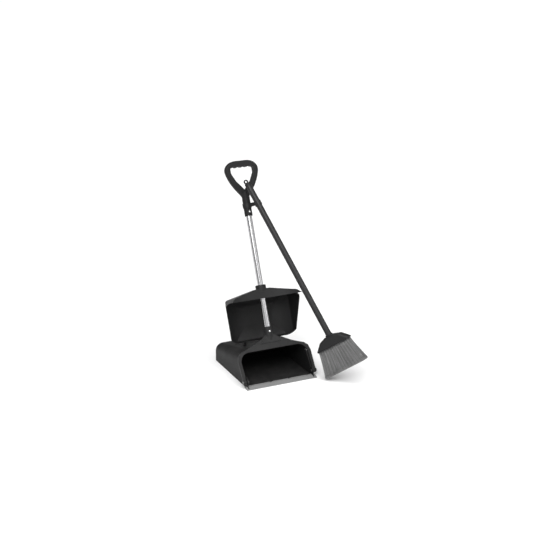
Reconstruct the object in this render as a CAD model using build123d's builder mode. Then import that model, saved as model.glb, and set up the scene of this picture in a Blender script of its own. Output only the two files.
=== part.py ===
"""Upright dust pan with a parked cover, and the broom on its clip. Millimetres, +Z up, mouth towards -Y."""

from build123d import *
import math
import os

os.makedirs("parts", exist_ok=True)

# Driving dimensions
FRONT, BACK = -156.0, 171.0        # hopper floor from front to back
HALF_FRONT, HALF_BACK = 142.5, 141.0
RISE_FRONT, RISE_BACK = 159.0, 73.0  # section height along the rim, and at the back wall
WALL = 2.5
RIM_LEAN = 40.0                    # lean of the hopper's open rim
FRAME_LEAN = 36.0                  # lean of the carrying frame
FRAME_THICK = 9.0
PIVOT = Vector(0, -137, 24)        # axis of the two pivot pins
POLE_LEAN = 22.8
POLE_FOOT = Vector(0, -21, 191)    # pole axis at the socket's mouth
POLE_R, POLE_BORE = 12.0, 10.8
POLE_LOW, POLE_TOP = -46.0, 515.0
SOCKET_R, NECK_R = 15.8, 15.6
COVER_SKIN = 2.5
COVER_LOW = -47.0                  # the parked cover's underside, along the pole
COVER_TURN = -7.0                  # the parked cover stands a little turned on the pole
BROOM_TOP = Vector(-1.1, 162.3, 730.3)
BROOM_TIP = Vector(237.2, -250.9, 54.4)
BROOM_ACROSS = Vector(0.597, -0.574, 0.561)
BROOM_R = 12.0
HEAD_DROP = 690.0                  # from the top of the broom to its head


def write(part, label):
    """Names a finished piece and writes its file."""
    part.label = label
    export_step(part, f"parts/{label}.step")


# Frames that the leaning pieces are drawn in
lean = math.radians(POLE_LEAN)
UP = Vector(0, math.sin(lean), math.cos(lean))
AHEAD = Vector(0, -math.cos(lean), math.sin(lean))
SIDE = Vector(1, 0, 0)


def pole_point(x, back, up):
    """A point given across, behind and along the pole."""
    return POLE_FOOT + SIDE * x - AHEAD * back + UP * up


def across_pole(up):
    """The plane square to the pole at a height along it: local x across, local y backwards."""
    return Plane(origin=pole_point(0, 0, up), x_dir=SIDE, z_dir=UP)


def side_face(x, side):
    """A plane at x, through the pivot axis, that faces away from the middle on that side."""
    return Plane(origin=(x, PIVOT.Y, PIVOT.Z), x_dir=(0, 1, 0), z_dir=(side, 0, 0))


def facing(back, up, x=0.0):
    """A plane that faces the front in the pole's frame: local x across, local y along the pole."""
    return Plane(origin=pole_point(x, back, up), x_dir=SIDE, z_dir=AHEAD)


def sideways(x):
    """A plane that faces +X in the pole's frame: local x backwards, local y along the pole."""
    return Plane(origin=pole_point(x, 0, 0), x_dir=-AHEAD, z_dir=SIDE)


broom_up = (BROOM_TOP - BROOM_TIP).normalized()
across = (BROOM_ACROSS - broom_up * BROOM_ACROSS.dot(broom_up)).normalized()
face_out = across.cross(broom_up)
BROOM_LENGTH = (BROOM_TOP - BROOM_TIP).length


def broom_section(down):
    """The plane square to the broom, this far below its top; local x is along the head."""
    return Plane(origin=BROOM_TOP - broom_up * down, x_dir=across, z_dir=broom_up)


def broom_face(down, out=0.0):
    """A plane that faces out of the broom head: local x along the head, local y up the handle."""
    return Plane(origin=BROOM_TOP - broom_up * down + face_out * out, x_dir=across, z_dir=face_out)


# Hopper: floor, walls and a roof that falls towards the back
rim_lean = math.radians(RIM_LEAN)
rim_plane = Plane(origin=(0, FRONT, 0), x_dir=(1, 0, 0), z_dir=(0, -math.cos(rim_lean), math.sin(rim_lean)))
rim_cut_plane = rim_plane.offset(6)
back_plane = Plane(origin=(0, BACK, 0), x_dir=(1, 0, 0), z_dir=(0, -1, 0))
inner_back_plane = back_plane.offset(WALL)


def rounded_section(half, low, high, foot_r, shoulder_r):
    """A closed outline with small feet corners and broad shoulders."""
    with BuildSketch(mode=Mode.PRIVATE) as outline:
        with Locations((0, (low + high) / 2)):
            Rectangle(2 * half, high - low)
        upper = outline.vertices().group_by(Axis.Y)[-1]
        lower = outline.vertices().group_by(Axis.Y)[0]
        fillet(upper, shoulder_r)
        fillet(lower, foot_r)
    return outline.sketch


inner_low = WALL / math.cos(rim_lean)
fr = math.radians(FRAME_LEAN)
frame_plane = Plane(origin=(0, -160, 0), x_dir=(1, 0, 0), z_dir=(0, -math.cos(fr), math.sin(fr)))
flange_plane = frame_plane.offset(-FRAME_THICK - 1.2)
with BuildPart() as hopper_shell:
    with BuildSketch(rim_plane):
        add(rounded_section(HALF_FRONT, -1.5, RISE_FRONT, 6, 44))
    with BuildSketch(back_plane):
        add(rounded_section(HALF_BACK, -1.2, RISE_BACK, 6, 30))
    loft(ruled=True)
    # Planed flat underneath, so that it rests on one true face
    with BuildSketch(Plane.XY):
        Rectangle(500, 500)
    extrude(amount=-20, mode=Mode.SUBTRACT)
    with BuildSketch(rim_cut_plane):
        add(rounded_section(HALF_FRONT - WALL, inner_low - 5.05, RISE_FRONT - WALL - 1.5, 3, 41.5))
    with BuildSketch(inner_back_plane):
        add(rounded_section(HALF_BACK - WALL, WALL, RISE_BACK - WALL, 3, 27.5))
    loft(ruled=True, mode=Mode.SUBTRACT)
    for side in (-1, 1):
        # Ear that carries the pivot pin, flush with the side wall
        with BuildSketch(side_face(side * (HALF_FRONT - 4.5), side)):
            Circle(13)
            with Locations((12, -6)):
                Rectangle(24, 24)
        extrude(amount=4.5)
        # Flange behind the frame's arm, which is its stop
        with BuildSketch(flange_plane):
            with Locations((side * (HALF_FRONT + 3.5), 80)):
                RectangleRounded(10, 74, 3)
        extrude(amount=-3)
    # Two posts on the roof that the parked cover rests on
    for x in (-75, 75):
        with BuildSketch(Plane(origin=(x, 32, 92), x_dir=(1, 0, 0), z_dir=(0, 0, 1))):
            RectangleRounded(12, 16, 3)
        extrude(amount=45)
    # Trimmed to the cover's underside, over the posts alone
    with BuildSketch(across_pole(COVER_LOW - 0.6)):
        with Locations((0, 78)):
            Rectangle(200, 36)
    extrude(amount=60, mode=Mode.SUBTRACT)
    for side in (-1, 1):
        with BuildSketch(side_face(side * 130, side)):
            Circle(4.0)
        extrude(amount=20, mode=Mode.SUBTRACT)
write(hopper_shell.part, "hopper_shell")

# Soft lip that meets the floor
with BuildPart() as lip_strip:
    with BuildSketch(Plane(origin=(-150, 0, 0), x_dir=(0, 1, 0), z_dir=(1, 0, 0))):
        with BuildLine():
            Polyline((-162, 0), (-162, 1.6), (-146, 8), (-134, 8), (-134, 2.6), (-156.1, 2.6),
                     (-156.1, 0), (-162, 0))
        make_face()
    extrude(amount=300)
    for side in (-1, 1):
        # Room for the hopper's side walls
        with BuildSketch(Plane(origin=(side * 137.5, 0, 0), x_dir=(0, 1, 0), z_dir=(1, 0, 0))):
            with Locations((-136.1, 10)):
                Rectangle(40, 20)
        extrude(amount=side * 5.4, mode=Mode.SUBTRACT)
write(lip_strip.part, "lip_strip")

with BuildPart() as lip_rivets:
    for x in (-120, -40, 40, 120):
        with BuildSketch(Plane(origin=(x, -140, 8.05), x_dir=(1, 0, 0), z_dir=(0, 0, 1))):
            Circle(3.4)
        extrude(amount=1.6)
write(lip_rivets.part, "lip_rivets")

# Carrying frame: arch, gusset and pole socket
with BuildPart() as yoke_frame:
    with BuildSketch(frame_plane):
        with BuildLine():
            Polyline((155.5, 24), (156.5, 116), (150, 138), (135, 150), (95, 164), (45, 184), (15, 204),
                     (-15, 204), (-45, 184), (-95, 164), (-135, 150), (-150, 138), (-156.5, 116),
                     (-155.5, 24), (155.5, 24))
        make_face()
        add(rounded_section(144.2, -60, 147, 5, 40), mode=Mode.SUBTRACT)
    extrude(amount=-FRAME_THICK)
    # Raised bead round the arch and a web up to the socket
    with BuildSketch(frame_plane):
        with BuildLine():
            Polyline((46, 172), (11, 198), (-11, 198), (-46, 172), (46, 172))
        make_face()
    extrude(amount=2.5)
    with BuildSketch(across_pole(-62)):
        Circle(SOCKET_R)
    extrude(amount=62)
    for side in (-1, 1):
        with BuildSketch(side_face(side * 144.2, side)):
            Circle(8)
        extrude(amount=11.3)
    with BuildSketch(across_pole(-48)):
        Circle(POLE_R + 0.05)
    extrude(amount=60, mode=Mode.SUBTRACT)
    with BuildSketch(facing(0, -19)):
        Circle(4.4)
    extrude(amount=30, mode=Mode.SUBTRACT)
    for side in (-1, 1):
        with BuildSketch(side_face(side * 130, side)):
            Circle(4.05)
        extrude(amount=40, mode=Mode.SUBTRACT)
write(yoke_frame.part, "yoke_frame")

with BuildPart() as pivot_pins:
    for side in (-1, 1):
        pin = side_face(side * 134.5, side)
        with BuildSketch(pin):
            Circle(4.0)
        extrude(amount=21.5)
        with BuildSketch(pin):
            Circle(6.5)
        extrude(amount=3.3)
        with BuildSketch(pin.offset(21.3)):
            Circle(6.8)
        extrude(amount=2.2)
write(pivot_pins.part, "pivot_pins")

# Pole and its two snap buttons
BUTTONS = (("lower", -19.0), ("upper", 458.0))
with BuildPart() as pole_tube:
    with BuildSketch(across_pole(POLE_LOW)):
        Circle(POLE_R)
        Circle(POLE_BORE, mode=Mode.SUBTRACT)
    extrude(amount=POLE_TOP - POLE_LOW)
    for name, up in BUTTONS:
        with BuildSketch(facing(0, up)):
            Circle(4.4)
        extrude(amount=30, mode=Mode.SUBTRACT)
write(pole_tube.part, "pole_tube")

with BuildPart() as pole_plug:
    with BuildSketch(across_pole(POLE_LOW - 1.5)):
        Circle(POLE_R)
    extrude(amount=1.4)
    with BuildSketch(across_pole(POLE_LOW - 0.2)):
        Circle(POLE_BORE - 0.05)
    extrude(amount=5)
write(pole_plug.part, "pole_plug")

for name, up in BUTTONS:
    with BuildPart() as snap_spring:
        # Leaf that grips the tube's far wall and turns over at its foot
        with BuildSketch(sideways(-4)):
            with BuildLine():
                Polyline((9.0, up + 16), (9.0, up - 16), (-1.5, up - 18), (-1.5, up - 17), (8.1, up - 15.2),
                         (8.1, up + 16), (9.0, up + 16))
            make_face()
        extrude(amount=8)
    write(snap_spring.part, f"{name}_snap_spring")
    with BuildPart() as snap_button:
        with BuildSketch(facing(-5.5, up)):
            Circle(4.0)
        extrude(amount=13)
        with BuildSketch(sideways(-4)):
            with BuildLine():
                Polyline((-5.4, up + 13), (-6.4, up + 13), (-6.4, up - 13), (-5.4, up - 13), (-5.4, up + 13))
            make_face()
        extrude(amount=8)
        crown = snap_button.edges().filter_by(GeomType.CIRCLE).sort_by(Axis(POLE_FOOT, AHEAD))[-1]
        fillet(crown, 2.2)
    write(snap_button.part, f"{name}_button")

# D-shaped hand grip with finger grooves and a neck over the pole
with BuildPart() as grip_handle:
    with BuildSketch(facing(-12, 0)):
        with BuildLine():
            Spline((14, 519), (44, 560), (66, 605), (69, 636), (50, 658), (0, 664), (-50, 658), (-69, 636),
                   (-66, 605), (-44, 560), (-14, 519))
            Line((-14, 519), (14, 519))
        make_face()
    extrude(amount=-24)
    rounded = grip_handle.faces().filter_by(lambda f: abs(f.normal_at().dot(AHEAD)) > 0.99)
    fillet(rounded.edges(), 8)
    with BuildSketch(facing(-20, 0)) as hole:
        with BuildLine():
            Polyline((0, 543), (34, 583), (50, 615), (50, 638), (-50, 638), (-50, 615), (-34, 583), (0, 543))
        make_face()
        fillet(hole.vertices(), 7)
    extrude(amount=-40, mode=Mode.SUBTRACT)
    for x in (-33, -11, 11, 33):
        with BuildSketch(facing(-20, 631.5, x)):
            Circle(9.5)
        extrude(amount=-40, mode=Mode.SUBTRACT)
    with BuildSketch(across_pole(442)):
        Circle(NECK_R)
    extrude(amount=96)
    with BuildSketch(across_pole(440)):
        Circle(POLE_R + 0.05)
    extrude(amount=POLE_TOP - 439.8, mode=Mode.SUBTRACT)
    with BuildSketch(facing(0, 458)):
        Circle(4.4)
    extrude(amount=30, mode=Mode.SUBTRACT)
write(grip_handle.part, "grip_handle")

# Broom clip: a band round the neck, an arm and an open jaw along the broom's axis
CLIP_UP = 483.0
CLIP_DOWN = (568.0 - CLIP_UP) / broom_up.dot(UP)
jaw_centre = BROOM_TOP - broom_up * CLIP_DOWN
neck_point = pole_point(0, 0, (jaw_centre - POLE_FOOT).dot(UP))
reach = jaw_centre - neck_point
pull = (reach - broom_up * reach.dot(broom_up)).normalized()
reach_length = reach.length
band_up = (jaw_centre - POLE_FOOT).dot(UP)
jaw_low = Plane(origin=jaw_centre - broom_up * 10, x_dir=pull, z_dir=broom_up)
with BuildPart() as broom_clip:
    with BuildSketch(across_pole(band_up - 9)):
        Circle(NECK_R + 2.4)
    extrude(amount=18)
    arm_dir = (reach - UP * reach.dot(UP)).normalized()
    with BuildSketch(Plane(origin=neck_point - UP * 7, x_dir=arm_dir, z_dir=UP)):
        with Locations(((reach_length - 6) / 2, 0)):
            Rectangle(reach_length - 6, 13)
    extrude(amount=14)
    with BuildSketch(jaw_low):
        Circle(BROOM_R + 2.6)
        with Locations((2, 0)):
            Rectangle(4, 2 * (BROOM_R + 2.4))
    extrude(amount=20)
    with BuildSketch(jaw_low.offset(-10)):
        Circle(BROOM_R + 0.35)
        with Locations((20, 0)):
            Rectangle(40, 2 * (BROOM_R + 0.35))
    extrude(amount=44, mode=Mode.SUBTRACT)
    with BuildSketch(across_pole(band_up - 30)):
        Circle(NECK_R + 0.02)
    extrude(amount=60, mode=Mode.SUBTRACT)
write(broom_clip.part, "broom_clip")

clip_axis = Plane(origin=pole_point(0, NECK_R + 2.45, band_up), x_dir=SIDE, z_dir=-AHEAD)
with BuildPart() as clip_screw:
    with BuildSketch(clip_axis):
        Circle(4.2)
    extrude(amount=2.2)
    with BuildSketch(clip_axis.offset(1.2)):
        Rectangle(5.5, 1.2)
        Rectangle(1.2, 5.5)
    extrude(amount=2, mode=Mode.SUBTRACT)
write(clip_screw.part, "clip_screw")

# Cover: a bowl behind the pole, its collar round the pole


def cover_form(side_points, round_at, round_r, foot_r, skin=0.0):
    """The bowl from its side, front and plan outlines, drawn this far inside its outer skin."""
    with BuildPart(mode=Mode.PRIVATE) as form:
        with BuildSketch(sideways(-180)) as side_outline:
            with BuildLine():
                Polyline(*side_points, close=True)
            make_face()
            for corner in round_at:
                fillet(side_outline.vertices().sort_by_distance((*corner, 0))[0:1], round_r)
        extrude(amount=360)
        wide, top, low = 158 - skin, 150 - skin, COVER_LOW + skin
        with BuildSketch(facing(-120, 0)) as front_outline:
            with BuildLine():
                Polyline((wide - 6, 104), (wide, 56), (wide - 6, low), (6 - wide, low), (-wide, 56),
                         (6 - wide, 104), (-126, top - 23), (-30, top), (30, top), (126, top - 23),
                         close=True)
            make_face()
            for side in (-1, 1):
                fillet(front_outline.vertices().sort_by_distance((side * (wide - 6), low, 0))[0:1], foot_r)
        extrude(amount=-300, mode=Mode.INTERSECT)
        with BuildSketch(across_pole(-60)):
            with BuildLine():
                ThreePointArc((160, -88 + skin), (0, -19 + skin), (-160, -88 + skin))
                Line((-160, -88 + skin), (skin - 160, -20))
                Line((skin - 160, -20), (skin - 132, 80))
                ThreePointArc((skin - 132, 80), (0, 130 - skin), (132 - skin, 80))
                Line((132 - skin, 80), (160 - skin, -20))
                Line((160 - skin, -20), (160, -88 + skin))
            make_face()
        extrude(amount=240, mode=Mode.INTERSECT)
    return form.part


s = COVER_SKIN
outer_side = [(71, COVER_LOW), (0, 100), (-12, 112), (-80, 112), (-80, 122), (-18, 150), (20, 150),
              (86, 132), (118, 92), (123, 12), (100, COVER_LOW + 5)]
inner_side = [(50, COVER_LOW + s), (-100, 60), (-100, 110), (-77.5, 114), (-77.5, 122 - s),
              (-18, 150 - s), (19, 150 - s), (84.5, 132 - s), (118 - s, 91), (123 - s, 12),
              (99, COVER_LOW + 5 + s)]
cover_outside = cover_form(outer_side, [(86, 132), (118, 92)], 22, 62)
cover_hollow = cover_form(inner_side, [(84.5, 129.5), (115.5, 91)], 19.5, 59.5, skin=s)
with BuildPart() as cover_shell:
    add(cover_outside)
    add(cover_hollow, mode=Mode.SUBTRACT)
    with BuildSketch(across_pole(138)):
        Circle(21)
    extrude(amount=28)
    crest = cover_shell.edges().filter_by(GeomType.CIRCLE).sort_by(Axis(POLE_FOOT, UP))[-1]
    fillet(crest, 4)
    with BuildSketch(across_pole(100)):
        Circle(16.05)
    extrude(amount=62, mode=Mode.SUBTRACT)
    with BuildSketch(across_pole(100)):
        Circle(12.8)
    extrude(amount=90, mode=Mode.SUBTRACT)
write(cover_shell.part.rotate(Axis(POLE_FOOT, UP), COVER_TURN), "cover_shell")

with BuildPart() as collar_bush:
    with BuildSketch(across_pole(138)):
        Circle(16.0)
        Circle(POLE_R + 0.06, mode=Mode.SUBTRACT)
    extrude(amount=23.9)
write(collar_bush.part, "collar_bush")

# Broom: tube, top cap with its hanging eye, socket and head
with BuildPart() as broom_tube:
    with BuildSketch(broom_section(HEAD_DROP)):
        Circle(BROOM_R)
        Circle(BROOM_R - 1.2, mode=Mode.SUBTRACT)
    extrude(amount=HEAD_DROP - 14)
write(broom_tube.part, "broom_tube")

with BuildPart() as broom_end_cap:
    with BuildSketch(broom_section(13.95)):
        Circle(BROOM_R + 0.6)
    extrude(amount=13.95)
    top = broom_end_cap.edges().filter_by(GeomType.CIRCLE).sort_by(Axis(BROOM_TIP, broom_up))[-1]
    fillet(top, 6)
    with BuildSketch(broom_section(34)):
        Circle(BROOM_R - 1.25)
    extrude(amount=22)
    eye_up = (broom_up * 0.86 - SIDE * 0.5).normalized()
    with BuildSketch(Plane(origin=BROOM_TOP + eye_up * 6 - face_out * 2.5, x_dir=across, z_dir=face_out)):
        Circle(9)
        Circle(4.5, mode=Mode.SUBTRACT)
    extrude(amount=5)
write(broom_end_cap.part, "broom_end_cap")

with BuildPart() as broom_plug:
    with BuildSketch(broom_section(HEAD_DROP)):
        Circle(BROOM_R - 1.25)
    extrude(amount=26)
write(broom_plug.part, "broom_plug")

HEAD_HALF, HEAD_DEEP = 74.0, 40.0
CAP_LOW = HEAD_DROP + 30
with BuildPart() as broom_head:
    with BuildSketch(broom_face(CAP_LOW, HEAD_DEEP / 2)):
        with BuildLine():
            Polyline((-HEAD_HALF, 0), (-HEAD_HALF, 5), (-HEAD_HALF + 5, 10), (-46, 32), (-16, 42), (16, 42),
                     (46, 32), (HEAD_HALF - 5, 10), (HEAD_HALF, 5), (HEAD_HALF, 0), (-HEAD_HALF, 0))
        make_face()
    extrude(amount=-HEAD_DEEP)
    shoulders = broom_head.faces().filter_by(lambda f: abs(f.normal_at().dot(face_out)) > 0.99).edges()
    cap_low_height = BROOM_LENGTH - CAP_LOW + 2
    fillet(shoulders.filter_by(lambda e: e.center().sub(BROOM_TIP).dot(broom_up) > cap_low_height), 7)
    with BuildSketch(broom_section(CAP_LOW)):
        Rectangle(2 * HEAD_HALF - 5, HEAD_DEEP - 5)
    extrude(amount=7.05, mode=Mode.SUBTRACT)
    with BuildSketch(broom_section(HEAD_DROP + 5)):
        Circle(BROOM_R + 3.4)
    extrude(amount=22)
    with BuildSketch(broom_section(HEAD_DROP + 0.05)):
        Circle(BROOM_R + 0.8)
    extrude(amount=60, mode=Mode.SUBTRACT)
write(broom_head.part, "broom_head")

with BuildPart() as broom_ferrule:
    with BuildSketch(broom_section(HEAD_DROP)):
        Circle(BROOM_R + 0.75)
        Circle(BROOM_R + 0.05, mode=Mode.SUBTRACT)
    extrude(amount=22)
write(broom_ferrule.part, "broom_ferrule")

with BuildPart() as head_screws:
    for x in (-30, 30):
        # On the back of the head, out of sight from the front
        screw_seat = broom_face(CAP_LOW - 13, -HEAD_DEEP / 2 - 0.05).from_local_coords((x, 0, 0))
        with BuildSketch(Plane(origin=screw_seat, x_dir=across, z_dir=-face_out)):
            Circle(3.2)
        extrude(amount=1.6)
write(head_screws.part, "head_screws")

with BuildPart() as bristle_bed:
    with BuildSketch(broom_section(CAP_LOW)):
        Rectangle(2 * HEAD_HALF - 5.2, HEAD_DEEP - 5.2)
    extrude(amount=7)
write(bristle_bed.part, "bristle_bed")

# Three rows of bristles that fan out towards their tips
TIP_HALF = 95.0
for name, top_out, tip_out in (("front", 11.6, 16.0), ("middle", 0.0, 0.0), ("back", -11.6, -16.0)):
    with BuildPart() as bristles:
        with BuildSketch(broom_section(CAP_LOW + 0.05)):
            with Locations((0, -top_out)):
                Rectangle(2 * HEAD_HALF - 7, 10.6)
        with BuildSketch(broom_section(BROOM_LENGTH - 2)):
            with Locations((0, -tip_out)):
                RectangleRounded(2 * TIP_HALF, 14.8, 4)
        loft()
    write(bristles.part, f"bristles_{name}")
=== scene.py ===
# %% [markdown]
# # An upright dust pan and its broom
# The imported model holds every hard piece where it belongs, in metres. This first step brings it in as
# the frame that all other pieces ride on, and keeps its box. Starting from the imported model, not from
# a fresh scene, keeps every joint working.

import math

import bmesh
import bpy
import numpy as np
from mathutils import Matrix, Vector


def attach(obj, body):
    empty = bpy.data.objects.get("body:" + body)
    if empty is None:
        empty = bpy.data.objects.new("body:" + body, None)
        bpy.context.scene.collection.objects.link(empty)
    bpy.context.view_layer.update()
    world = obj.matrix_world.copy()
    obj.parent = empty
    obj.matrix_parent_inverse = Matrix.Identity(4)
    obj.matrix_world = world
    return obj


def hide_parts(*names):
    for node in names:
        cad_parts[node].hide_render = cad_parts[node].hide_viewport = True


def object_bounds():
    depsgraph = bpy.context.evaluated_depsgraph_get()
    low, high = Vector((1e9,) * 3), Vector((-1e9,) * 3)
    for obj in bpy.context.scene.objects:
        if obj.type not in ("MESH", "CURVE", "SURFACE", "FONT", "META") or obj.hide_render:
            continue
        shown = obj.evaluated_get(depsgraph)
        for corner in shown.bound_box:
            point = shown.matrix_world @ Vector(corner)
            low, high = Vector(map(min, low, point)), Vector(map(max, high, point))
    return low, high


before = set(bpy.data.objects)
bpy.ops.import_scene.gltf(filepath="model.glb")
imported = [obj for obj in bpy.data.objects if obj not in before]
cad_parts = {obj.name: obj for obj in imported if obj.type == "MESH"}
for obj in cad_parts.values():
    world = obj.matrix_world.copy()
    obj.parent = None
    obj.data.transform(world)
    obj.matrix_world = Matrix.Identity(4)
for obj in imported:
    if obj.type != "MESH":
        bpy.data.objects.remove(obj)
cad_low, cad_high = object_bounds()
RNG = np.random.default_rng(11)
MM = 0.001
print("CAD box", [round(v, 4) for v in (*cad_low, *cad_high)])

# %% [markdown]
# ## Directions that the set is drawn in
# The pole leans back, and the broom leans back and to the right while it turns its head towards the
# pan. Bristles, brushed metal and moulded seams all follow these two directions, so they are worked
# out once here from the same few sizes that the hard pieces were drawn with.

# %% Directions of the pole and the broom
POLE_LEAN = math.radians(22.8)
pole_up = Vector((0, math.sin(POLE_LEAN), math.cos(POLE_LEAN)))
pole_ahead = Vector((0, -math.cos(POLE_LEAN), math.sin(POLE_LEAN)))
pole_foot = Vector((0, -21, 191)) * MM
broom_top = Vector((-1.1, 162.3, 730.3)) * MM
broom_tip = Vector((237.2, -250.9, 54.4)) * MM
broom_up = (broom_top - broom_tip).normalized()
head_across = Vector((0.597, -0.574, 0.561))
head_across = (head_across - broom_up * head_across.dot(broom_up)).normalized()
head_out = head_across.cross(broom_up)
broom_length = (broom_top - broom_tip).length
print("broom length", round(broom_length, 4), "m, face", [round(v, 3) for v in head_out])

# %% [markdown]
# ## Small helpers for node trees
# Every finish here is a tree of shader nodes. A helper that adds a node and sets its values in one
# line keeps each tree short enough to read from top to bottom.


# %% Node helpers
def add_node(tree, kind, place, **settings):
    """Adds a node, sets its properties and, for keys that name an input, that input's value."""
    node = tree.nodes.new(kind)
    node.location = place
    for key, value in settings.items():
        if hasattr(node, key):
            setattr(node, key, value)
        else:
            node.inputs[key.replace("_", " ")].default_value = value
    return node


def new_group(name, inputs, outputs):
    """A shader node group with named float inputs (with defaults) and named float outputs."""
    group = bpy.data.node_groups.new(name, "ShaderNodeTree")
    for label, default in inputs.items():
        socket = group.interface.new_socket(name=label, in_out="INPUT", socket_type="NodeSocketFloat")
        socket.default_value = default
    for label in outputs:
        group.interface.new_socket(name=label, in_out="OUTPUT", socket_type="NodeSocketFloat")
    start = group.nodes.new("NodeGroupInput")
    end = group.nodes.new("NodeGroupOutput")
    start.location, end.location = (-900, 0), (700, 0)
    return group, start, end


def maths(tree, operation, place, first, second, clamp=False):
    """A Math node whose two inputs are sockets or numbers."""
    node = add_node(tree, "ShaderNodeMath", place, operation=operation, use_clamp=clamp)
    for socket, value in zip(node.inputs, (first, second)):
        if isinstance(value, (int, float)):
            socket.default_value = value
        else:
            tree.links.new(value, socket)
    return node.outputs[0]


def ramp(tree, place, source, stops):
    """A colour ramp with the given (position, grey) stops, fed by a socket."""
    node = add_node(tree, "ShaderNodeValToRGB", place)
    elements = node.color_ramp.elements
    while len(elements) < len(stops):
        elements.new(0.5)
    for element, (position, grey) in zip(elements, stops):
        element.position = position
        element.color = (grey, grey, grey, 1)
    tree.links.new(source, node.inputs[0])
    return node.outputs[0]


print("helpers ready")

# %% [markdown]
# ## Effects that several finishes share
# Moulded plastic has a fine spark-eroded grain from its tool and a slow waviness where it shrank.
# Anything that is swept with also gets scratched along its length, dusty on its upper faces and rubbed
# paler on its edges. Each of these is one group, so the same effect is used at other strengths on
# plastic, rubber and metal.

# %% Grain of the moulding tool
grain, grain_in, grain_out = new_group(
    "moulded_grain", {"Scale": 900.0, "Waviness": 0.35}, ("Height", "Tone"))
where = add_node(grain, "ShaderNodeTexCoord", (-900, 200))
fine = add_node(grain, "ShaderNodeTexNoise", (-600, 200), Detail=4.0, Roughness=0.6)
slow = add_node(grain, "ShaderNodeTexNoise", (-600, -100), Scale=14.0, Detail=2.0)
grain.links.new(where.outputs["Object"], fine.inputs["Vector"])
grain.links.new(where.outputs["Object"], slow.inputs["Vector"])
grain.links.new(grain_in.outputs["Scale"], fine.inputs["Scale"])
wave = maths(grain, "MULTIPLY", (-300, -100), slow.outputs[0], grain_in.outputs["Waviness"])
both = maths(grain, "ADD", (-100, 50), fine.outputs[0], wave)
grain.links.new(both, grain_out.inputs["Height"])
grain.links.new(slow.outputs[0], grain_out.inputs["Tone"])
print("grain group", len(grain.nodes), "nodes")

# %% Scratches along one direction
scratch, scratch_in, scratch_out = new_group(
    "sweeping_scratches", {"Along X": 14.0, "Along Y": 160.0, "Along Z": 160.0, "Cover": 0.5},
    ("Mask",))
where = add_node(scratch, "ShaderNodeTexCoord", (-900, 200))
stretch = add_node(scratch, "ShaderNodeCombineXYZ", (-700, -50))
for axis in ("X", "Y", "Z"):
    scratch.links.new(scratch_in.outputs[f"Along {axis}"], stretch.inputs[axis])
scaled = add_node(scratch, "ShaderNodeVectorMath", (-500, 100), operation="MULTIPLY")
scratch.links.new(where.outputs["Object"], scaled.inputs[0])
scratch.links.new(stretch.outputs[0], scaled.inputs[1])
lines = add_node(scratch, "ShaderNodeTexNoise", (-300, 100), Scale=3.0, Detail=6.0, Roughness=0.7)
scratch.links.new(scaled.outputs[0], lines.inputs["Vector"])
thin = ramp(scratch, (-100, 100), lines.outputs[0], ((0.56, 0.0), (0.62, 1.0)))
covered = maths(scratch, "MULTIPLY", (300, 100), thin, scratch_in.outputs["Cover"])
scratch.links.new(covered, scratch_out.inputs["Mask"])
print("scratch group", len(scratch.nodes), "nodes")

# %% Dust that settles on upper faces
dust, dust_in, dust_out = new_group(
    "settled_dust", {"Amount": 0.3, "Patch Size": 30.0}, ("Mask",))
shape = add_node(dust, "ShaderNodeNewGeometry", (-900, 300))
parts = add_node(dust, "ShaderNodeSeparateXYZ", (-700, 300))
dust.links.new(shape.outputs["Normal"], parts.inputs[0])
upward = ramp(dust, (-500, 300), parts.outputs["Z"], ((0.25, 0.0), (0.95, 1.0)))
where = add_node(dust, "ShaderNodeTexCoord", (-900, -100))
patches = add_node(dust, "ShaderNodeTexNoise", (-600, -100), Detail=8.0, Roughness=0.65)
dust.links.new(where.outputs["Object"], patches.inputs["Vector"])
dust.links.new(dust_in.outputs["Patch Size"], patches.inputs["Scale"])
spread = ramp(dust, (-300, -100), patches.outputs[0], ((0.35, 0.1), (0.75, 1.0)))
lying = maths(dust, "MULTIPLY", (0, 100), upward, spread)
amount = maths(dust, "MULTIPLY", (200, 100), lying, dust_in.outputs["Amount"])
dust.links.new(amount, dust_out.inputs["Mask"])
print("dust group", len(dust.nodes), "nodes")

# %% Rubbed edges
edge, edge_in, edge_out = new_group("edge_rub", {"Width": 0.0015, "Strength": 1.0}, ("Mask",))
shape = add_node(edge, "ShaderNodeNewGeometry", (-900, 300))
soft = add_node(edge, "ShaderNodeBevel", (-700, 100), samples=4)
edge.links.new(edge_in.outputs["Width"], soft.inputs["Radius"])
match = add_node(edge, "ShaderNodeVectorMath", (-500, 200), operation="DOT_PRODUCT")
edge.links.new(shape.outputs["Normal"], match.inputs[0])
edge.links.new(soft.outputs[0], match.inputs[1])
turned = maths(edge, "SUBTRACT", (-300, 200), 1.0, match.outputs["Value"])
rubbed = ramp(edge, (-100, 200), turned, ((0.01, 0.0), (0.16, 1.0)))
strength = maths(edge, "MULTIPLY", (300, 200), rubbed, edge_in.outputs["Strength"])
edge.links.new(strength, edge_out.inputs["Mask"])
print("edge group", len(edge.nodes), "nodes")

# %% [markdown]
# ## Moulded charcoal plastic
# The pan, its frame, the cover and the broom's head are polypropylene with carbon black in it: nearly
# black, a little milky, satin where the tool was fine. One maker of materials gives each of them the
# same tree with its own grain, gloss and wear, because they come from different moulds.


# %% Plastic finish
SPECULAR_LEVEL, COAT_ROUGHNESS = 0.24, 0.25
RUB_GAIN, RUB_LIFT = 2.4, 0.012
DEEP_SHARE, SCRATCH_GAIN = 0.78, 1.5
DUST_GREY = (0.16, 0.155, 0.15)
GLOSS_SWING = 0.16
GRAIN_HEIGHT = 0.0006


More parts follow.
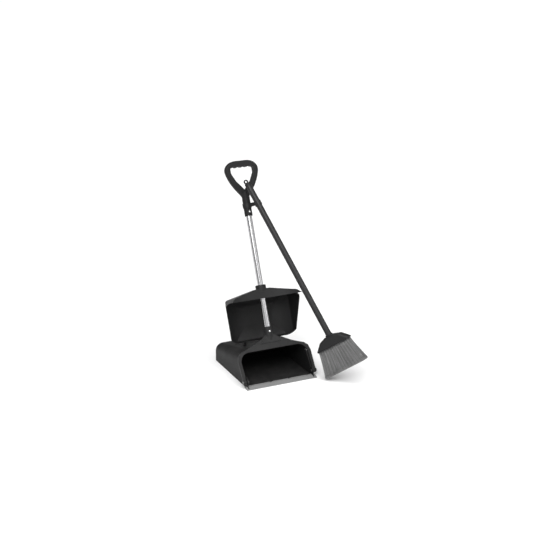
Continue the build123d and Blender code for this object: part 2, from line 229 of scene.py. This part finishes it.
def place_group(tree, group, place, **values):
    """Puts a node group into a material and sets its inputs by name."""
    node = add_node(tree, "ShaderNodeGroup", place)
    node.node_tree = group
    for key, value in values.items():
        node.inputs[key.replace("_", " ")].default_value = value
    return node


def blended(tree, place, mask, below, above):
    """Mixes two colours (sockets or values) by a mask."""
    node = add_node(tree, "ShaderNodeMix", place, data_type="RGBA")
    tree.links.new(mask, node.inputs["Factor"])
    for name, value in (("A", below), ("B", above)):
        socket = next(s for s in node.inputs if s.name == name and s.type == "RGBA")
        if isinstance(value, tuple):
            socket.default_value = (*value, 1)
        else:
            tree.links.new(value, socket)
    return next(s for s in node.outputs if s.type == "RGBA")


def moulded_plastic(name, colour, gloss=0.46, grain_size=900.0, grain_depth=0.12, worn=0.35, dusty=0.12,
                    scratched=0.25, coat=0.0):
    """Charcoal plastic with tool grain, scratches, a little dust and rubbed edges."""
    material = bpy.data.materials.new(name)
    material.use_nodes = True
    tree = material.node_tree
    shader = tree.nodes["Principled BSDF"]
    shader.inputs["Specular IOR Level"].default_value = SPECULAR_LEVEL
    shader.inputs["Coat Weight"].default_value = coat
    shader.inputs["Coat Roughness"].default_value = COAT_ROUGHNESS
    surface = place_group(tree, grain, (-900, -200), Scale=grain_size)
    marks = place_group(tree, scratch, (-900, 0), Cover=scratched)
    powder = place_group(tree, dust, (-900, 200), Amount=dusty)
    rub = place_group(tree, edge, (-900, 400), Strength=worn)
    pale = tuple(min(1.0, c * RUB_GAIN + RUB_LIFT) for c in colour)
    deep = tuple(c * DEEP_SHARE for c in colour)
    scored = tuple(c * SCRATCH_GAIN for c in colour)
    base = blended(tree, (-600, 300), surface.outputs["Tone"], deep, colour)
    base = blended(tree, (-450, 300), marks.outputs["Mask"], base, scored)
    base = blended(tree, (-300, 300), rub.outputs["Mask"], base, pale)
    base = blended(tree, (-150, 300), powder.outputs["Mask"], base, DUST_GREY)
    tree.links.new(base, shader.inputs["Base Color"])
    rough = maths(tree, "MULTIPLY", (-500, 0), surface.outputs["Tone"], GLOSS_SWING)
    rough = maths(tree, "ADD", (-350, 0), rough, gloss)
    rough = maths(tree, "ADD", (-200, 0), rough, marks.outputs["Mask"], clamp=True)
    tree.links.new(rough, shader.inputs["Roughness"])
    bump = add_node(tree, "ShaderNodeBump", (-200, -300), Strength=grain_depth, Distance=GRAIN_HEIGHT)
    tree.links.new(surface.outputs["Height"], bump.inputs["Height"])
    tree.links.new(bump.outputs[0], shader.inputs["Normal"])
    return material


CHARCOAL = (0.0080, 0.0080, 0.0083)
SATIN_BLACK = (0.0110, 0.0110, 0.0114)
COATING = (0.0110, 0.0110, 0.0115)
INNER_GREY = (0.08, 0.08, 0.08)
plastics = {
    "hopper_shell": moulded_plastic("hopper_plastic", CHARCOAL, gloss=0.47, dusty=0.10, scratched=0.25),
    "yoke_frame": moulded_plastic("frame_plastic", SATIN_BLACK, gloss=0.40),
    "cover_shell": moulded_plastic("cover_plastic", (0.0105, 0.0105, 0.0109), gloss=0.42, dusty=0.1),
    "grip_handle": moulded_plastic("grip_plastic", (0.0090, 0.0090, 0.0093), gloss=0.5, grain_size=1500,
                                   dusty=0.03),
    "broom_clip": moulded_plastic("clip_plastic", COATING, gloss=0.42),
    "broom_head": moulded_plastic("head_plastic", (0.0120, 0.0120, 0.0125), gloss=0.40, dusty=0.1),
    "broom_end_cap": moulded_plastic("cap_plastic", COATING, gloss=0.40),
    "collar_bush": moulded_plastic("bush_plastic", (0.09, 0.09, 0.09), gloss=0.5),
    "pole_plug": moulded_plastic("plug_plastic", INNER_GREY),
    "broom_plug": moulded_plastic("inner_plug_plastic", INNER_GREY),
    "bristle_bed": moulded_plastic("bed_plastic", (0.07, 0.07, 0.07), gloss=0.55),
    "broom_tube": moulded_plastic("coated_tube", COATING, gloss=0.30, grain_size=420, grain_depth=0.07,
                                  worn=0.1, dusty=0.05, scratched=0.2, coat=0.25),
    "broom_ferrule": moulded_plastic("coated_sleeve", (0.020, 0.020, 0.021), gloss=0.34, grain_size=420),
}
print("plastic finishes", len(plastics))

# %% [markdown]
# ## Bright tube, coated tube and small steel parts
# The pole is plated steel tube, drawn through a die, so its faint lines run along it. The broom's tube
# has a thin black powder coat with a slight orange-peel skin. Both are one tree each, with the noise
# stretched or not along the tube.


# %% Metal finishes
LINE_SCALE = 260.0
LINE_STRETCH = 0.97
LINE_SHEEN, LINE_HEIGHT = 0.06, 0.0001
SCORED_SHARE = 0.86
METAL_DUST = (0.35, 0.34, 0.32)


def drawn_metal(name, colour, roughness, along):
    """Metal with faint lines that run along a direction."""
    material = bpy.data.materials.new(name)
    material.use_nodes = True
    tree = material.node_tree
    shader = tree.nodes["Principled BSDF"]
    shader.inputs["Metallic"].default_value = 1.0
    where = add_node(tree, "ShaderNodeTexCoord", (-1100, 0))
    length = add_node(tree, "ShaderNodeVectorMath", (-900, -100), operation="DOT_PRODUCT")
    length.inputs[1].default_value = along
    tree.links.new(where.outputs["Object"], length.inputs[0])
    back = add_node(tree, "ShaderNodeVectorMath", (-750, -100), operation="SCALE")
    back.inputs[0].default_value = along
    stretched = maths(tree, "MULTIPLY", (-900, -300), length.outputs["Value"], LINE_STRETCH)
    tree.links.new(stretched, back.inputs["Scale"])
    flat = add_node(tree, "ShaderNodeVectorMath", (-600, 0), operation="SUBTRACT")
    tree.links.new(where.outputs["Object"], flat.inputs[0])
    tree.links.new(back.outputs[0], flat.inputs[1])
    streaks = add_node(tree, "ShaderNodeTexNoise", (-400, 0), Scale=LINE_SCALE, Detail=5.0, Roughness=0.6)
    tree.links.new(flat.outputs[0], streaks.inputs["Vector"])
    marks = place_group(tree, scratch, (-600, 300), Along_X=60.0, Along_Y=60.0, Along_Z=12.0, Cover=0.15)
    powder = place_group(tree, dust, (-600, 500), Amount=0.1)
    scored = tuple(c * SCORED_SHARE for c in colour)
    base = blended(tree, (-150, 300), marks.outputs["Mask"], colour, scored)
    base = blended(tree, (0, 300), powder.outputs["Mask"], base, METAL_DUST)
    tree.links.new(base, shader.inputs["Base Color"])
    spread = maths(tree, "MULTIPLY", (-150, 0), streaks.outputs[0], LINE_SHEEN)
    spread = maths(tree, "ADD", (0, 0), spread, roughness - LINE_SHEEN / 2)
    tree.links.new(spread, shader.inputs["Roughness"])
    bump = add_node(tree, "ShaderNodeBump", (-100, -300), Strength=0.02, Distance=LINE_HEIGHT)
    tree.links.new(streaks.outputs[0], bump.inputs["Height"])
    tree.links.new(bump.outputs[0], shader.inputs["Normal"])
    return material


TUBE_STEEL = (0.55, 0.55, 0.56)
BUTTON_STEEL = (0.86, 0.86, 0.86)
metals = {
    "pole_tube": drawn_metal("bright_tube", TUBE_STEEL, 0.18, pole_up),
    "lower_button": drawn_metal("lower_button_steel", BUTTON_STEEL, 0.15, pole_ahead),
    "upper_button": drawn_metal("upper_button_steel", BUTTON_STEEL, 0.15, pole_ahead),
    "lower_snap_spring": drawn_metal("lower_leaf_steel", TUBE_STEEL, 0.32, pole_up),
    "upper_snap_spring": drawn_metal("upper_leaf_steel", TUBE_STEEL, 0.32, pole_up),
    "pivot_pins": drawn_metal("pin_steel", (0.13, 0.13, 0.13), 0.34, Vector((1, 0, 0))),
    "lip_rivets": drawn_metal("rivet_aluminium", (0.62, 0.62, 0.62), 0.36, Vector((0, 0, 1))),
    "clip_screw": drawn_metal("screw_steel", (0.40, 0.40, 0.41), 0.33, pole_up),
    "head_screws": drawn_metal("head_screw_steel", (0.20, 0.20, 0.20), 0.40, broom_up),
}
print("metal finishes", len(metals))

# %% [markdown]
# ## Soft grey lip
# The lip is a thermoplastic rubber strip that drags on the floor. It is matt, a lighter grey than the
# rest, and scuffed in lines across the way the pan is pushed.

# %% Lip finish
lip = moulded_plastic("lip_rubber", (0.20, 0.20, 0.20), gloss=0.58, grain_size=1200, worn=0.15, dusty=0.1,
                      scratched=0.0)
lip_tree = lip.node_tree
lip_scuff = place_group(lip_tree, scratch, (-900, 600), Along_X=160.0, Along_Y=10.0, Along_Z=40.0,
                        Cover=0.5)
lip_shader = lip_tree.nodes["Principled BSDF"]
clean_lip = lip_shader.inputs["Base Color"].links[0].from_socket
scuffed = blended(lip_tree, (0, 500), lip_scuff.outputs["Mask"], clean_lip, (0.17, 0.17, 0.165))
lip_tree.links.new(scuffed, lip_shader.inputs["Base Color"])
print("lip finish", len(lip_tree.nodes), "nodes")

# %% Give each hard piece its finish
for node_name, material in {**plastics, **metals, "lip_strip": lip}.items():
    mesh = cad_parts[node_name].data
    mesh.materials.clear()
    mesh.materials.append(material)
print("finished nodes", len(plastics) + len(metals) + 1)

# %% [markdown]
# ## Bristles
# The broom's head holds a few rows of tufts. Each tuft is a bundle of crimped synthetic filaments,
# folded into a hole, that spreads towards its tip. Hair particles would do for a picture, but not as a
# mesh that can be kept, so every filament is a thin three-sided tube made here, bent a little, cut to
# nearly one length, and given a tone of its own.

# %% Sizes of the bristles
HEAD_DROP = 0.690
BED_DROP = HEAD_DROP + 0.030
TIP_DROP = broom_length - 0.0022
HALF_TOP, HALF_TIP = 0.0695, 0.0938
ROWS = {"front": (0.0116, 0.0160), "middle": (0.0, 0.0), "back": (-0.0116, -0.0160)}
ROW_DEEP_TOP, ROW_DEEP_TIP = 0.0046, 0.0066
FILAMENTS_PER_ROW = 1500
FILAMENT_R, TAPER = 0.00055, 0.35
STEPS, SIDES = 6, 3
TUFTS = 34
STRAY_TOP, STRAY_TIP = 0.30, 0.85
FAN_POWER = 1.15
UNEVEN_CUT = 0.0012
WORN_AWAY, WORN_FROM, WORN_SPAN = 0.0035, 0.93, 0.07
BOW, BOW_OUT = 0.0008, 0.5
CRIMP, CRIMP_RATE, ANY_PHASE = 0.00025, 22, 6.28
MEAN_TONE, STRAND_TONE, TUFT_TONE, TUFT_RATE = 0.5, 0.18, 0.16, 2.4


def broom_point(along, out, drop):
    """A point on the broom: along the head, out of its face, and down from the top of the handle."""
    return broom_top + head_across * along + head_out * out - broom_up * drop


print("filaments", 3 * FILAMENTS_PER_ROW)


# %% Build the rows of filaments
def bristle_row(name, top_out, tip_out):
    """One row of tufts as a mesh of thin tubes with a tone for each filament."""
    points, faces, tones = [], [], []
    for index in range(FILAMENTS_PER_ROW):
        tuft = index % TUFTS
        share = ((tuft + 0.5) / TUFTS) * 2 - 1
        share_top = share + RNG.normal(0, STRAY_TOP / TUFTS)
        share_tip = share + RNG.normal(0, STRAY_TIP / TUFTS)
        side_top = max(-1.0, min(1.0, share_top)) * HALF_TOP
        side_tip = max(-1.0, min(1.0, share_tip)) * HALF_TIP
        deep_top = top_out + RNG.uniform(-1, 1) * ROW_DEEP_TOP
        deep_tip = tip_out + RNG.uniform(-1, 1) * ROW_DEEP_TIP
        worn = WORN_AWAY * max(0.0, abs(share_tip) - WORN_FROM) / WORN_SPAN
        drop = TIP_DROP - abs(RNG.normal(0, UNEVEN_CUT)) - worn
        bow = RNG.normal(0, BOW)
        phase = RNG.uniform(0, ANY_PHASE)
        tone = RNG.normal(MEAN_TONE, STRAND_TONE) + TUFT_TONE * math.sin(tuft * TUFT_RATE)
        tone = float(np.clip(tone, 0, 1))
        first = len(points)
        for step in range(STEPS):
            t = step / (STEPS - 1)
            fan = t ** FAN_POWER
            along = side_top + (side_tip - side_top) * fan + bow * math.sin(math.pi * t)
            along += CRIMP * math.sin(CRIMP_RATE * t + phase)
            out = deep_top + (deep_tip - deep_top) * t + bow * BOW_OUT * math.sin(math.pi * t)
            level = BED_DROP + (drop - BED_DROP) * t
            radius = FILAMENT_R * (1.0 - TAPER * t ** 3)
            for corner in range(SIDES):
                angle = corner * 2 * math.pi / SIDES + phase
                points.append(broom_point(along + radius * math.cos(angle),
                                          out + radius * math.sin(angle), level))
                tones.append(tone)
        for step in range(STEPS - 1):
            low = first + SIDES * step
            high = low + SIDES
            for corner in range(SIDES):
                turn = (corner + 1) % SIDES
                faces.append((low + corner, low + turn, high + turn, high + corner))
        faces.append((first + 2, first + 1, first))
        last = first + SIDES * (STEPS - 1)
        faces.append((last, last + 1, last + 2))
    mesh = bpy.data.meshes.new(f"bristle_filaments_{name}")
    mesh.from_pydata([tuple(p) for p in points], [], faces)
    mesh.attributes.new("strand_tone", "FLOAT", "POINT").data.foreach_set("value", tones)
    mesh.shade_smooth()
    piece = bpy.data.objects.new(f"bristle_filaments_{name}", mesh)
    bpy.context.scene.collection.objects.link(piece)
    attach(piece, "broom")
    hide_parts(f"bristles_{name}")
    return piece


bristle_pieces = [bristle_row(name, *outs) for name, outs in ROWS.items()]
print("bristle vertices", sum(len(p.data.vertices) for p in bristle_pieces))

# %% [markdown]
# ## Bristle finish
# Crimped polymer filaments scatter light all through the bundle, so they look matt and pale, with
# darker gaps between tufts. The tone that each filament was given picks its grey, and the tips are a
# little paler where they are split. Just below the head the filaments get a painted shade, darker where
# the head shades their packed roots.

# %% Bristle material
bristle = bpy.data.materials.new("grey_bristle")
bristle.use_nodes = True
tree = bristle.node_tree
shader = tree.nodes["Principled BSDF"]
shader.inputs["Specular IOR Level"].default_value = 0.3
strand = add_node(tree, "ShaderNodeAttribute", (-900, 200), attribute_name="strand_tone")
greys = ramp(tree, (-700, 200), strand.outputs["Fac"], ((0.1, 0.11), (0.9, 0.30)))
where = add_node(tree, "ShaderNodeTexCoord", (-1100, -100))
drop = add_node(tree, "ShaderNodeVectorMath", (-900, -100), operation="DOT_PRODUCT")
drop.inputs[1].default_value = -broom_up
tree.links.new(where.outputs["Object"], drop.inputs[0])
reach = add_node(tree, "ShaderNodeMapRange", (-700, -100))
reach.inputs["From Min"].default_value = (-broom_point(0, 0, BED_DROP)).dot(broom_up)
reach.inputs["From Max"].default_value = (-broom_point(0, 0, TIP_DROP)).dot(broom_up)
tree.links.new(drop.outputs["Value"], reach.inputs["Value"])
# Painted shade: the filaments are darkened just below the head, where the head and their packed roots
# shade them.
painted_root_shade = ramp(tree, (-500, -100), reach.outputs[0], ((0.0, 0.25), (0.12, 0.0)))
tips = ramp(tree, (-500, -350), reach.outputs[0], ((0.82, 0.0), (1.0, 0.35)))
colour = blended(tree, (-300, 200), painted_root_shade, greys, (0.06, 0.06, 0.06))
colour = blended(tree, (-150, 200), tips, colour, (0.42, 0.42, 0.42))
tree.links.new(colour, shader.inputs["Base Color"])
fuzz = add_node(tree, "ShaderNodeTexNoise", (-500, -600), Scale=700.0, Detail=3.0)
tree.links.new(where.outputs["Object"], fuzz.inputs["Vector"])
FUZZ_SWING, FUZZ_LEAST = 0.2, 0.5
matt = maths(tree, "MULTIPLY", (-400, -600), fuzz.outputs[0], FUZZ_SWING)
matt = maths(tree, "ADD", (-300, -600), matt, FUZZ_LEAST)
tree.links.new(matt, shader.inputs["Roughness"])
bump = add_node(tree, "ShaderNodeBump", (-200, -400), Strength=0.2, Distance=0.0002)
tree.links.new(fuzz.outputs[0], bump.inputs["Height"])
tree.links.new(bump.outputs[0], shader.inputs["Normal"])
for piece in bristle_pieces:
    piece.data.materials.append(bristle)
print("bristle material", len(tree.nodes), "nodes")

# %% [markdown]
# ## Floor, light and camera
# A pale floor under a broad, even light shows dark plastic by its sheen. A wide soft sun keeps the
# whole floor equally pale. A large soft box at the upper left models the forms, and a weaker one on the
# right opens the shadows. Bright metal shows only what is around it, so the surround is bright in
# front and dim behind: that gives a plated tube its light middle and its dark edges. The camera stands
# well back with a long lens, a little above the set.


# %% Floor
def broad_disc(name, radius, rings, spokes):
    """A flat round floor made of rings of faces, fine in the middle and coarse at its edge."""
    mesh = bmesh.new()
    loops = []
    for ring in range(1, rings + 1):
        reach = radius * (ring / rings) ** 2
        turns = [2 * math.pi * spoke / spokes for spoke in range(spokes)]
        loops.append([mesh.verts.new((reach * math.cos(a), reach * math.sin(a), 0)) for a in turns])
    mesh.faces.new(loops[0])
    for inner, outer in zip(loops, loops[1:]):
        for spoke in range(spokes):
            after = (spoke + 1) % spokes
            mesh.faces.new((inner[spoke], outer[spoke], outer[after], inner[after]))
    data = bpy.data.meshes.new(name)
    mesh.to_mesh(data)
    mesh.free()
    disc = bpy.data.objects.new(name, data)
    bpy.context.scene.collection.objects.link(disc)
    return disc


floor = broad_disc("studio_floor", radius=60.0, rings=10, spokes=48)
paper = bpy.data.materials.new("studio_paper")
paper.use_nodes = True
paper_tree = paper.node_tree
fibres = add_node(paper_tree, "ShaderNodeTexNoise", (-600, 0), Scale=6.0, Detail=3.0)
paper_tone = ramp(paper_tree, (-400, 0), fibres.outputs[0], ((0.0, 0.90), (1.0, 0.94)))
paper_shader = paper_tree.nodes["Principled BSDF"]
paper_tree.links.new(paper_tone, paper_shader.inputs["Base Color"])
paper_shader.inputs["Roughness"].default_value = 0.9
floor.data.materials.append(paper)
print("floor", [round(v, 2) for v in floor.dimensions])


# %% Lights
def soft_box(name, place, target, size, power):
    """A square area light that faces a point."""
    data = bpy.data.lights.new(name, "AREA")
    data.size, data.energy = size, power
    lamp = bpy.data.objects.new(name, data)
    bpy.context.scene.collection.objects.link(lamp)
    lamp.location = place
    lamp.rotation_euler = (Vector(target) - Vector(place)).to_track_quat("-Z", "Y").to_euler()


middle = (cad_low + cad_high) / 2
soft_box("key_light", (-2.2, -3.2, 3.0), middle, size=1.6, power=55)
soft_box("fill_light", (3.0, -2.6, 2.2), middle, size=2.6, power=28)
sky_data = bpy.data.lights.new("broad_light", "SUN")
sky_data.energy, sky_data.angle = 2.9, math.radians(70)
sky_light = bpy.data.objects.new("broad_light", sky_data)
bpy.context.scene.collection.objects.link(sky_light)
sky_light.rotation_euler = (math.radians(18), math.radians(-12), 0)

# %% Surround: bright in front, dim behind, plain white where it is looked at
FRONT_GLOW, BACK_GLOW = 0.80, 0.12
world = bpy.data.worlds.new("studio_world")
bpy.context.scene.world = world
world.use_nodes = True
sky = world.node_tree
sky.nodes["Background"].inputs["Color"].default_value = (1.0, 1.0, 1.0, 1)
facing = add_node(sky, "ShaderNodeSeparateXYZ", (-900, 0))
sky.links.new(add_node(sky, "ShaderNodeTexCoord", (-1100, 0)).outputs["Generated"], facing.inputs[0])
depth = maths(sky, "MULTIPLY", (-700, 0), facing.outputs["Y"], 0.5)
depth = maths(sky, "ADD", (-550, 0), depth, 0.5)
surround = ramp(sky, (-400, 0), depth, ((0.10, FRONT_GLOW), (0.52, BACK_GLOW)))
seen = add_node(sky, "ShaderNodeLightPath", (-400, 300))
strength = maths(sky, "MAXIMUM", (0, 100), surround, seen.outputs["Is Camera Ray"])
sky.links.new(strength, sky.nodes["Background"].inputs["Strength"])
print("surround from", FRONT_GLOW, "to", BACK_GLOW)

# %% Camera
VIEW_TURN, VIEW_HEIGHT, VIEW_DISTANCE = math.radians(-25.2), math.radians(18.7), 4.95
LENS = 84.8
camera_back = Vector((math.sin(VIEW_TURN) * math.cos(VIEW_HEIGHT),
                      -math.cos(VIEW_TURN) * math.cos(VIEW_HEIGHT), math.sin(VIEW_HEIGHT)))
aim = Vector((0.017, -0.010, 0.420))
camera_data = bpy.data.cameras.new("studio_camera")
camera_data.lens = LENS
camera = bpy.data.objects.new("studio_camera", camera_data)
bpy.context.scene.collection.objects.link(camera)
camera.location = aim + camera_back * VIEW_DISTANCE
camera.rotation_mode = "QUATERNION"
camera.rotation_quaternion = (-camera_back).to_track_quat("-Z", "Y")
bpy.context.scene.camera = camera
bpy.context.scene.view_settings.view_transform = "Standard"
print("camera at", [round(v, 3) for v in camera.location])
